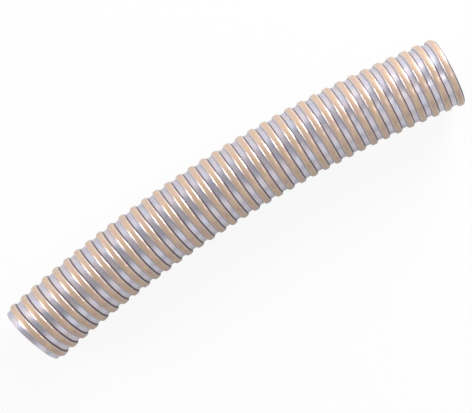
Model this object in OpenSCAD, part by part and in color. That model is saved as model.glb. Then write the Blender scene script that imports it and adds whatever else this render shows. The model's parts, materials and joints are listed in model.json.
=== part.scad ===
/* [Hose] */
// Length along the bent centreline, from cut to cut
length = 500; // [200:5:1000]
// Radius of the clear bore, inside the valley strip
bore_r = 33.7; // [25:0.1:50]
// Advance of both strips in one turn, along the centreline
pitch = 13.9; // [13:0.05:18]
// Radius that the hose's centreline is bent to
bend_r = 1400; // [700:1:5000]

/* [Cut ends] */
// Angle of both cuts from square, turned the way that the strips lean on top
cut_tilt = 4.9; // [0:0.1:6]
// Width of the valley left beyond the last cap's foot, on top of the hose
cut_margin = 0.4; // [0.2:0.1:2]

/* [Valley strip] */
// Thickness of the bare aluminium strip
valley_t = 0.5; // [0.3:0.05:0.8]
// Width of the channel across the outside of its bend lines
valley_w = 9.8; // [8.8:0.1:10.6]
// Height of the channel's upturned flanges above its outer face
flange_h = 1.25; // [0.8:0.05:1.6]

/* [Cap strip] */
// Thickness of the gold aluminium strip
cap_t = 0.5; // [0.3:0.05:0.7]
// Width of the cap over its two feet
cap_w = 8.2; // [7.6:0.1:9.2]
// Width of the cap between its two shoulders
cap_top_w = 5.7; // [5:0.1:6.4]
// Height of the cap's shoulders over the valley's outer face
cap_h = 2.25; // [2.2:0.05:3.2]
// Rise of the cap's crown above its shoulders
crown_h = 0.3; // [0.1:0.05:0.6]
// Slack between the cap's feet and the valley strip
foot_gap = 0.1; // [0.05:0.05:0.3]

/* [Fineness] */
// Facets in one turn of a strip
segments = 16; // [12:4:20]

/* [Hidden] */

valley_r = bore_r + valley_t;
foot_r = valley_r + foot_gap;
shoulder_r = valley_r + cap_h;
hose_r = shoulder_r + crown_h;

// The facets lie outside the round strip and touch it at their middles
facet_grow = 1 / cos(180 / segments);

// Outline of each strip, as [place along the hose from the strip's middle, radius]
cap_outline = [
    [-cap_w / 2, foot_r],
    [-cap_top_w / 2, shoulder_r],
    [0, hose_r],
    [cap_top_w / 2, shoulder_r],
    [cap_w / 2, foot_r],
    [cap_top_w / 2 - cap_t, shoulder_r - cap_t],
    [-cap_top_w / 2 + cap_t, shoulder_r - cap_t]
];
valley_outline = [
    [-(valley_w + valley_t) / 2, valley_r + flange_h],
    [-valley_w / 2, valley_r],
    [valley_w / 2, valley_r],
    [(valley_w + valley_t) / 2, valley_r + flange_h],
    [valley_w / 2 + valley_t, bore_r],
    [-valley_w / 2 - valley_t, bore_r]
];

// Place of the last cap's middle on top of the hose
last_cap = length / 2 - cut_margin - cap_w / 2;

// Turns in a strip before it is cut, with more than half a turn to spare at each end
wound = ceil(length / pitch) + 2;

function bend_angle(s) = s / bend_r * 180 / PI;
end_angle = bend_angle(length / 2);

// The hose's box in plan, from the centre of its bend. The valley strip reaches
// furthest along X, at the cuts, and the cap strip along Y.
low_x = -bend_r * sin(end_angle) - valley_r * sin(end_angle + cut_tilt);
high_x = bend_r * sin(end_angle) + valley_r * sin(end_angle - cut_tilt);
low_y = (bend_r - hose_r) * cos(bend_angle(last_cap + pitch / 4));
high_y = bend_r + hose_r;
centre = [(low_x + high_x) / 2, (low_y + high_y) / 2];

// A point at an angle round the hose from its outer side, s along the bent
// centreline. The box's middle is over the origin, and the hose lies on the floor.
function on_hose(s, r, turn) =
    let (bend = bend_angle(s), out = bend_r + r * facet_grow * cos(turn))
    [
        out * sin(bend) - centre[0],
        out * cos(bend) - centre[1],
        hose_r + r * facet_grow * sin(turn)
    ];

// Faces between the rings of a swept outline, each four-sided one as two
// triangles, and the two ends
function sweep_faces(rings, sides) = concat(
    [
        for (k = [0 : rings - 2], i = [0 : sides - 1])
            let (a = k * sides + i, b = k * sides + (i + 1) % sides)
            each [[a, b, a + sides], [b, b + sides, a + sides]]
    ],
    [[for (i = [sides - 1 : -1 : 0]) i]],
    [[for (i = [0 : sides - 1]) (rings - 1) * sides + i]]
);

// A strip wound right-handed round the bent centreline, from under the hose. One
// of its turns has its middle at last_top on top of the hose, with one turn after
// it. Its lowest facets are level, so that the hose lies on facets, not on corners.
module wound_strip(outline, last_top) {
    rings = wound * segments + 1;
    polyhedron(
        points = [
            for (k = [0 : rings - 1], place = outline)
                let (turns = (k - 0.5) / segments)
                on_hose(last_top + pitch * (turns + 1.5 - wound) + place[0], place[1], 360 * turns - 90)
        ],
        faces = sweep_faces(rings, len(outline)),
        convexity = 10
    );
}

// A block that holds all that is beyond the cut at one end, -1 or 1
module beyond_cut(side) {
    translate([side * bend_r * sin(end_angle) - centre[0], bend_r * cos(end_angle) - centre[1], hose_r])
        rotate(cut_tilt - side * end_angle)
            translate([side * 2 * pitch, 0, 0])
                cube([4 * pitch, 3 * hose_r, 3 * hose_r], center = true);
}

// A strip cut off at both ends. The resize to its own size keeps it one mesh.
module cut_strip(outline, last_top) {
    resize([0, 0, 0])
        difference() {
            wound_strip(outline, last_top);
            beyond_cut(-1);
            beyond_cut(1);
        }
}

// Gold-toned cap, an upside-down channel over the gap between the valley's turns
module cap_strip() {
    color([0.84, 0.72, 0.56]) cut_strip(cap_outline, last_cap);
}

// Bare channel that lines the bore, with its flanges hooked up inside the cap
module valley_strip() {
    color([0.76, 0.77, 0.82]) cut_strip(valley_outline, last_cap - pitch / 2);
}

cap_strip();
valley_strip();
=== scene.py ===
import json
import math

import bpy
import numpy as np
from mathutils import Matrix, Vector


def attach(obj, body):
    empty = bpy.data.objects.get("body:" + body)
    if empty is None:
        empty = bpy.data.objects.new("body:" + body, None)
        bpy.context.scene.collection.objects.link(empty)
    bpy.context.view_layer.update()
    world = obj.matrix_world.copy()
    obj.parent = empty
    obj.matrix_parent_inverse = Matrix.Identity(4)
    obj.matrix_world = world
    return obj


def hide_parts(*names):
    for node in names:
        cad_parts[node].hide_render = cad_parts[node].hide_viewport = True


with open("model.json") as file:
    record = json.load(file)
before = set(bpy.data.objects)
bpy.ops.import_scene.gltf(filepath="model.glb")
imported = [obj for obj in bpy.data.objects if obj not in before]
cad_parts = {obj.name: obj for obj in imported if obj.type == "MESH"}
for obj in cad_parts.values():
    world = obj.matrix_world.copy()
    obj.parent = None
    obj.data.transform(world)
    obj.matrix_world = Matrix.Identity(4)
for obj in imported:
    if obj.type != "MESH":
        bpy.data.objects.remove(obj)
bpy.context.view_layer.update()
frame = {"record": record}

MM = 0.001

# The hose, as its construction has it
LENGTH = 500 * MM
BORE_R = 33.7 * MM
PITCH = 13.9 * MM
BEND_R = 1400 * MM
CUT_TILT = math.radians(4.9)
CUT_MARGIN = 0.4 * MM

VALLEY_T = 0.5 * MM
VALLEY_W = 9.8 * MM
FLANGE_H = 1.25 * MM

CAP_T = 0.5 * MM
CAP_W = 8.2 * MM
CAP_TOP_W = 5.7 * MM
CAP_H = 2.25 * MM
CROWN_H = 0.3 * MM
FOOT_GAP = 0.1 * MM

VALLEY_R = BORE_R + VALLEY_T
FOOT_R = VALLEY_R + FOOT_GAP
SHOULDER_R = VALLEY_R + CAP_H
HOSE_R = SHOULDER_R + CROWN_H
LAST_CAP = LENGTH / 2 - CUT_MARGIN - CAP_W / 2
TURNS = math.ceil(LENGTH / PITCH) + 2

# Steps in one turn of a strip
STEPS = 72

# The middle of the bent centreline, from the two packed ends
END_ANGLE = LENGTH / 2 / BEND_R
end_places = {mount["name"]: Vector(mount["pos_m"]) for mount in frame["record"]["mounts"]}
chord_middle = (end_places["cut_end"] + end_places["far_end"]) / 2
hose_middle = chord_middle + Vector((0, BEND_R * (1 - math.cos(END_ANGLE)), 0))


def on_centreline(s):
    """The point at s along the bent centreline from its middle."""
    angle = s / BEND_R
    return hose_middle + BEND_R * Vector((math.sin(angle), math.cos(angle) - 1, 0))


# Camera

IMAGE_WIDTH = 472
FOCAL_PIXELS = 1586
SENSOR_WIDTH = 36
CAMERA_DISTANCE = 1.6
CAMERA_TILT = math.radians(1.8)
CAMERA_ROLL = math.radians(-32.4)
# The place that the camera looks at, along X from the middle of the chord
CAMERA_AIM = -4.5 * MM


def add_camera():
    """Looks down at the hose from above its right half, rolled as in the photograph."""
    bpy.ops.object.camera_add()
    camera = bpy.context.object
    camera.data.sensor_width = SENSOR_WIDTH
    camera.data.lens = FOCAL_PIXELS / IMAGE_WIDTH * SENSOR_WIDTH
    camera.data.clip_end = 20
    away = Vector((math.sin(CAMERA_TILT), 0, math.cos(CAMERA_TILT)))
    camera.location = chord_middle + Vector((CAMERA_AIM, 0, 0)) + CAMERA_DISTANCE * away
    camera.rotation_mode = "ZYX"
    camera.rotation_euler = (0, CAMERA_TILT, CAMERA_ROLL)
    bpy.context.scene.camera = camera


# Strips


def edit(piece):
    """Starts editing one piece with nothing in its mesh selected."""
    bpy.ops.object.select_all(action="DESELECT")
    bpy.context.view_layer.objects.active = piece
    piece.select_set(True)
    bpy.ops.object.mode_set(mode="EDIT")
    bpy.ops.mesh.select_all(action="DESELECT")


def leave():
    bpy.ops.object.mode_set(mode="OBJECT")


def apply_modifier(piece, kind, **settings):
    """Adds a modifier to one piece and applies it."""
    bpy.ops.object.select_all(action="DESELECT")
    bpy.context.view_layer.objects.active = piece
    piece.select_set(True)
    modifier = piece.modifiers.new(kind, kind)
    for key, value in settings.items():
        setattr(modifier, key, value)
    bpy.ops.object.modifier_apply(modifier=modifier.name)


def draw_profile(name, points):
    """A wire along the points (place along the hose, radius), extruded from one vertex."""
    bpy.ops.object.select_all(action="DESELECT")
    bpy.ops.mesh.primitive_plane_add(size=MM, location=(*points[0], 0))
    piece = bpy.context.object
    piece.name = name
    bpy.ops.object.transform_apply()
    bpy.ops.object.mode_set(mode="EDIT")
    bpy.ops.mesh.merge(type="CENTER")
    for start, end in zip(points, points[1:]):
        step = (end[0] - start[0], end[1] - start[1], 0)
        bpy.ops.mesh.extrude_vertices_move(TRANSFORM_OT_translate={"value": step})
    leave()
    return piece


def round_bends(piece, places, offset, segments):
    """Rounds the wire's bends at these places along the hose."""
    edit(piece)
    leave()
    for vertex in piece.data.vertices:
        vertex.select = any(abs(vertex.co.x - place) < MM / 100 for place in places)
    bpy.ops.object.mode_set(mode="EDIT")
    bpy.ops.mesh.bevel(offset=offset, segments=segments, affect="VERTICES")
    leave()


def map_strip(piece, places):
    """Gives a wound strip its map: u is the place along the strip, v the place across it."""
    mesh = piece.data
    vertex = np.empty(len(mesh.loops), dtype=np.int32)
    mesh.loops.foreach_get("vertex_index", vertex)
    along = vertex // len(places) / STEPS * math.tau * VALLEY_R
    across = np.array(places)[vertex % len(places)]
    layer = mesh.uv_layers.new(name="strip")
    layer.data.foreach_set("uv", np.column_stack((along, across)).ravel())


def facing_out(piece):
    """Above 0 if the faces of a sheet that is wound about X look away from X."""
    piece.update_from_editmode()
    return sum(face.normal.yz.dot(face.center.yz) for face in piece.data.polygons)


def wind(piece, last_top):
    """Winds the profile right-handed about X. Its last turn but one crosses the top at last_top."""
    places = [vertex.co.x for vertex in piece.data.vertices]
    apply_modifier(piece, "SCREW", axis="X", angle=math.tau, screw_offset=PITCH, iterations=TURNS,
                   steps=STEPS, render_steps=STEPS, use_smooth_shade=True)
    map_strip(piece, places)
    edit(piece)
    bpy.ops.mesh.select_all(action="SELECT")
    bpy.ops.mesh.normals_make_consistent(inside=False)
    if facing_out(piece) < 0:
        bpy.ops.mesh.flip_normals()
    bpy.ops.transform.translate(value=(last_top - (TURNS - 1.75) * PITCH, 0, 0))
    leave()


def bend(piece):
    """Bends the straight winding to the hose's arc, and puts it in its place."""
    places = [vertex.co.x for vertex in piece.data.vertices]
    apply_modifier(piece, "SIMPLE_DEFORM", deform_method="BEND", deform_axis="Z",
                   angle=-(max(places) - min(places)) / BEND_R)
    piece.location = hose_middle
    bpy.ops.object.transform_apply()


def cut_ends(piece):
    """Cuts the winding off along a plane at each end."""
    for side, name in ((-1, "far_end"), (1, "cut_end")):
        angle = side * END_ANGLE - CUT_TILT
        edit(piece)
        bpy.ops.mesh.select_all(action="SELECT")
        bpy.ops.mesh.bisect(plane_co=end_places[name], clear_outer=True,
                            plane_no=(side * math.cos(angle), -side * math.sin(angle), 0))
        leave()


def make_strip(name, points, bends, thickness, last_top):
    """A strip of sheet, from its profile to its thickness. The profile is its outer face."""
    piece = draw_profile(name, points)
    for places, offset, segments in bends:
        round_bends(piece, places, offset, segments)
    wind(piece, last_top)
    bend(piece)
    cut_ends(piece)
    apply_modifier(piece, "SOLIDIFY", thickness=thickness, offset=-1, use_even_offset=True)
    bpy.ops.object.shade_smooth_by_angle(angle=math.radians(40))
    return piece


def both_sides(points):
    """A profile from its left half, which is mirrored to the right."""
    return points + [(-place, radius) for place, radius in reversed(points)]


# The cap's feet end a little above the valley, because their edges have a thickness
FOOT_LIFT = 0.2 * MM
cap_half = [(-CAP_W / 2, FOOT_R + FOOT_LIFT), (-CAP_TOP_W / 2, SHOULDER_R)]
cap_points = cap_half + [(0, HOSE_R)] + both_sides(cap_half)[2:]
cap_bends = [
    ((-CAP_TOP_W / 2, CAP_TOP_W / 2), 0.8 * MM, 5),
    ((0,), 1.2 * MM, 3),
]
# The valley rises a little towards the feet that stand on it, and is flat between
FOOT_PLACE = (PITCH - CAP_W) / 2
valley_points = both_sides([
    (-(VALLEY_W + VALLEY_T) / 2, VALLEY_R + FLANGE_H),
    (-VALLEY_W / 2, VALLEY_R),
    (-FOOT_PLACE - 1.0 * MM, VALLEY_R),
    (-FOOT_PLACE - 0.4 * MM, VALLEY_R + 0.12 * MM),
    (-FOOT_PLACE, VALLEY_R + 0.07 * MM),
    (-FOOT_PLACE + 0.5 * MM, VALLEY_R + 0.02 * MM),
    (-FOOT_PLACE + 1.1 * MM, VALLEY_R),
])
valley_bends = [((-VALLEY_W / 2, VALLEY_W / 2), 0.5 * MM, 2)]


# Finishes


class Value:
    """A number that varies over a surface, as a socket of a finish's nodes."""

    def __init__(self, finish, socket):
        self.finish = finish
        self.socket = socket

    def maths(self, operation, first, second):
        return self.finish.node("ShaderNodeMath", {0: first, 1: second}, operation=operation)

    def __add__(self, other):
        return self.maths("ADD", self, other)

    def __sub__(self, other):
        return self.maths("SUBTRACT", self, other)

    def __mul__(self, other):
        return self.maths("MULTIPLY", self, other)

    def __neg__(self):
        return self * -1

    def __abs__(self):
        return self.maths("ABSOLUTE", self, 0)

    __radd__ = __add__
    __rmul__ = __mul__


class Finish:
    """A material on a principled shader, with its nodes added one by one."""

    def __init__(self, name):
        self.material = bpy.data.materials.new(name)
        self.material.use_nodes = True
        self.tree = self.material.node_tree
        self.shader = self.tree.nodes["Principled BSDF"]

    def node(self, kind, sockets, output=0, **settings):
        """Adds a node. Sockets are numbers, colours or values, by name or place."""
        node = self.tree.nodes.new(kind)
        for key, value in settings.items():
            setattr(node, key, value)
        self.link(node, sockets)
        return Value(self, node.outputs[output])

    def link(self, node, sockets):
        for key, value in sockets.items():
            if isinstance(value, Value):
                self.tree.links.new(value.socket, node.inputs[key])
            elif isinstance(value, tuple) and node.inputs[key].type == "RGBA":
                node.inputs[key].default_value = (*value, 1)
            else:
                node.inputs[key].default_value = value

    def noise(self, vector, size, detail=2):
        """Noise whose grains are about this many metres across."""
        return self.node("ShaderNodeTexNoise", {"Vector": vector, "Scale": 1 / size, "Detail": detail})

    def rise(self, value, start, end):
        """0 up to start and 1 from end on, with a smooth change between them."""
        return self.node("ShaderNodeMapRange", {"Value": value, "From Min": start, "From Max": end},
                         interpolation_type="SMOOTHSTEP")

    def place_on_strip(self):
        """The strip's own map, in metres: the point on it, and its place across the strip."""
        point = self.node("ShaderNodeUVMap", {}, uv_map="strip")
        return point, self.node("ShaderNodeSeparateXYZ", {0: point}, output=1)

    def place_in_hose(self):
        """The point on the hose, in metres."""
        return self.node("ShaderNodeTexCoord", {}, output=3)

    def roll_lines(self, point, width):
        """Fine lines along the strip, as rolling leaves them, about this wide."""
        drawn_out = self.node("ShaderNodeMapping", {"Vector": point, "Scale": (LINE_STRETCH, 1, 1)})
        return self.noise(drawn_out, width, detail=3)

    def mix(self, factor, first, second):
        """The first colour where the factor is 0, and the second where it is 1."""
        return self.node("ShaderNodeMix", {"Factor": factor, 6: first, 7: second}, output=2, data_type="RGBA")

    def put_on(self, piece):
        piece.data.materials.clear()
        piece.data.materials.append(self.material)


# Width of a roll line, as a share of its length
LINE_STRETCH = 0.012
# Depth of the roll lines and of the shallow dents in both strips
ROLL_DEPTH = 0.03 * MM


def gold_finish():
    """Satin gold lacquer: mottled, with a painted highlight on the shoulders, a painted reflection on the
    flanks, and painted shade along the feet.
    """
    finish = Finish("gold lacquer over aluminium")
    point, across = finish.place_on_strip()
    inside = finish.place_in_hose()
    blotches = finish.rise(finish.noise(inside, 9 * MM, detail=3), 0.35, 0.68)
    specks = finish.rise(finish.noise(inside, 1.6 * MM), 0.4, 0.7)
    lines = finish.roll_lines(point, 0.35 * MM)

    lacquer = finish.mix(blotches, (0.70, 0.49, 0.32), (0.61, 0.42, 0.34))
    lacquer = finish.mix(specks * 0.3, lacquer, (0.52, 0.36, 0.34))
    lacquer = finish.mix(finish.rise(lines, 0.3, 0.75) * 0.3, lacquer, (0.84, 0.68, 0.50))
    # A speckled pale cream painted on both shoulders as a painted highlight; the same band is also made less
    # rough
    shoulder = finish.rise(abs(across), 1.9 * MM, 2.5 * MM) * finish.rise(abs(across), 3.2 * MM, 2.6 * MM)
    lacquer = finish.mix(shoulder * (0.25 + 0.5 * specks), lacquer, (0.93, 0.82, 0.68))
    # The flanks are painted a pale lavender grey, a painted reflection of the silver valley beside them
    flank = finish.rise(abs(across), 2.6 * MM, 3.2 * MM)
    lacquer = finish.mix(flank * 0.85, lacquer, (0.70, 0.66, 0.72))
    # Painted shade in the creases along both feet of the cap, heavier along one foot than the other
    painted_foot_shade = finish.rise(across, 2.9 * MM, 3.6 * MM) + finish.rise(-across, 3.5 * MM, 4.1 * MM) * 0.6
    colour = finish.mix(painted_foot_shade, lacquer, (0.17, 0.105, 0.105))

    finish.link(finish.shader, {
        "Base Color": colour, "Metallic": 0.5,
        "Roughness": 0.36 + 0.10 * blotches + 0.08 * lines - 0.2 * shoulder,
        "Coat Weight": 1.0, "Coat Roughness": 0.25,
        "Normal": finish.node("ShaderNodeBump", {"Height": lines + 1.5 * blotches, "Distance": ROLL_DEPTH}),
    })
    return finish


def bare_finish():
    """Bright rolled aluminium: a lavender cast, pinkish clouds, and painted shade in the seams by the caps.
    """
    finish = Finish("bright rolled aluminium")
    point, across = finish.place_on_strip()
    inside = finish.place_in_hose()
    clouds = finish.rise(finish.noise(inside, 12 * MM, detail=3), 0.35, 0.68)
    specks = finish.rise(finish.noise(inside, 2.2 * MM), 0.4, 0.7)
    lines = finish.roll_lines(point, 0.3 * MM)

    metal = finish.mix(clouds, (0.74, 0.76, 0.90), (0.86, 0.77, 0.81))
    metal = finish.mix(specks * 0.35, metal, (0.64, 0.60, 0.70))
    metal = finish.mix(finish.rise(lines, 0.3, 0.75) * 0.35, metal, (0.90, 0.88, 0.93))
    # Painted shade in the seam along both feet of the caps, wider along one foot than the other
    painted_seam_shade = finish.rise(-across, FOOT_PLACE - 0.95 * MM, FOOT_PLACE - 0.3 * MM)
    painted_seam_shade = painted_seam_shade + finish.rise(across, FOOT_PLACE - 0.4 * MM, FOOT_PLACE) * 0.6
    painted_seam_shade = painted_seam_shade * finish.rise(abs(across), FOOT_PLACE + 0.4 * MM, FOOT_PLACE + 0.1 * MM)
    colour = finish.mix(painted_seam_shade, metal, (0.16, 0.11, 0.125))

    finish.link(finish.shader, {
        "Base Color": colour, "Metallic": 1.0, "Roughness": 0.29 + 0.08 * clouds + 0.08 * lines,
        "Normal": finish.node("ShaderNodeBump", {"Height": lines + 2.0 * clouds, "Distance": ROLL_DEPTH}),
    })
    return finish


# Studio


# Shares of the floor's white glow that the camera and the metal's reflections see
GLOW_SEEN = 0.85
GLOW_MIRRORED = 0.2
FLOOR_GREY = 0.55


def add_floor():
    """A pale floor. The camera sees it lit to white, and it keeps some of the hose's shadow."""
    bpy.ops.mesh.primitive_plane_add(size=12)
    floor = bpy.context.object
    floor.name = "floor"
    finish = Finish("pale floor")
    finish.link(finish.shader, {"Base Color": (FLOOR_GREY,) * 3, "Roughness": 0.9})
    nodes, links = finish.tree.nodes, finish.tree.links
    glow = nodes.new("ShaderNodeEmission")
    glow.inputs["Strength"].default_value = 1.06
    mixer = nodes.new("ShaderNodeMixShader")
    by_camera = finish.node("ShaderNodeLightPath", {})
    by_metal = finish.node("ShaderNodeLightPath", {}, output=3)
    glowing = GLOW_SEEN * by_camera + GLOW_MIRRORED * by_metal
    links.new(glowing.socket, mixer.inputs[0])
    links.new(finish.shader.outputs[0], mixer.inputs[1])
    links.new(glow.outputs[0], mixer.inputs[2])
    links.new(mixer.outputs[0], nodes["Material Output"].inputs["Surface"])
    finish.put_on(floor)


def add_softbox(place, width, depth, radiance):
    """A rectangular lamp that looks at the middle of the hose."""
    bpy.ops.object.light_add(type="AREA", location=place)
    lamp = bpy.context.object
    lamp.data.shape = "RECTANGLE"
    lamp.data.size = width
    lamp.data.size_y = depth
    lamp.data.energy = radiance * math.pi * width * depth
    lamp.rotation_mode = "QUATERNION"
    lamp.rotation_quaternion = (Vector((0, 0, HOSE_R)) - Vector(place)).to_track_quat("-Z", "Y")


def set_world(level):
    """An even grey light from all round, white where the camera sees it."""
    world = bpy.data.worlds.new("studio")
    bpy.context.scene.world = world
    world.use_nodes = True
    nodes, links = world.node_tree.nodes, world.node_tree.links
    paths = nodes.new("ShaderNodeLightPath")
    shade = nodes.new("ShaderNodeMapRange")
    shade.inputs["To Min"].default_value = level
    shade.inputs["To Max"].default_value = 1
    links.new(paths.outputs["Is Camera Ray"], shade.inputs["Value"])
    links.new(shade.outputs[0], nodes["Background"].inputs["Strength"])
    nodes["Background"].inputs["Color"].default_value = (1, 0.985, 1, 1)


add_camera()
add_floor()
set_world(0.32)
# Wide dim lamps behind and in front of the hose, a bright one past each end of it,
# and a small one for glints on the shoulders: place, width, depth and radiance
for softbox in (
    ((0, 1.4, 0.5), 2.2, 1.0, 0.5),
    ((0, -1.1, 0.8), 1.8, 1.1, 0.48),
    ((1.5, 0.95, 0.8), 0.9, 0.9, 15),
    ((-1.7, 0.9, 0.8), 1.2, 1.0, 6),
    ((0.5, -0.25, 0.9), 0.12, 0.12, 26),
):
    add_softbox(*softbox)
bpy.context.scene.view_settings.view_transform = "Standard"

cap = make_strip("cap", cap_points, cap_bends, CAP_T, LAST_CAP)
valley = make_strip("valley", valley_points, valley_bends, VALLEY_T, LAST_CAP - PITCH / 2)
gold_finish().put_on(cap)
bare_finish().put_on(valley)

for piece, node, slot in ((cap, "cap_strip", "gold_aluminium"), (valley, "valley_strip", "bare_aluminium")):
    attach(piece, "root")
    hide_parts(node)

# Points along the bent centreline, and a point 12 mm above its first one
CENTRELINE_POINTS = 51
path = [on_centreline(LENGTH * (k / (CENTRELINE_POINTS - 1) - 0.5)) for k in range(CENTRELINE_POINTS)]
path[0] + Vector((0, 0, 12 * MM))
